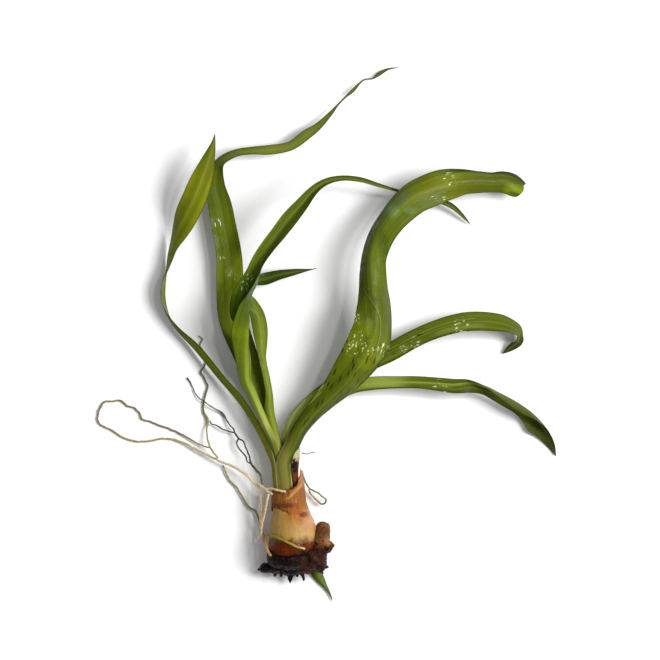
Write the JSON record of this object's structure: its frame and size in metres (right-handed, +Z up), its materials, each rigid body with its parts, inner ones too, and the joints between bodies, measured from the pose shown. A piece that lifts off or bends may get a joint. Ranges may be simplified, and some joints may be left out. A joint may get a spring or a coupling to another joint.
{
  "type": "water onion plant",
  "caption": "Bulbous water plant laid on its side: long bulb in a torn tunic, dark basal plate, arching strap leaves spread from the neck, and fine trailing roots.",
  "frame": {"origin": "middle of the flat patch on the bulb's underside that rests on the surface", "axes": "+Z up from the surface that the plant lies on, +Y along the plant from the basal plate to the leaf tips, +X to the side that the broad leaf arches to"},
  "size_m": [0.3071, 0.3575, 0.0428],
  "materials": {
    "leaf_green": "gloss",
    "bulb_cream": "satin",
    "tunic_brown": "satin",
    "plate_brown": "satin",
    "root_tan": "satin"
  },
  "bodies": {
    "root": {"bulb": "bulb_cream", "tunic": "tunic_brown", "dried_leaf_base": "tunic_brown", "basal_plate": "plate_brown", "outer_left_leaf": "leaf_green", "tall_left_leaf": "leaf_green", "arching_leaf": "leaf_green", "hooked_leaf": "leaf_green", "broad_leaf": "leaf_green", "curled_right_leaf": "leaf_green", "lower_right_leaf": "leaf_green", "basal_leaf": "leaf_green", "long_looped_root": "root_tan", "upright_root": "root_tan", "forked_root": "root_tan", "drooping_root": "root_tan", "side_root": "root_tan", "crossing_root": "root_tan", "short_root": "root_tan", "right_looped_root": "root_tan", "hair_root": "root_tan"}
  },
  "joints": []
}
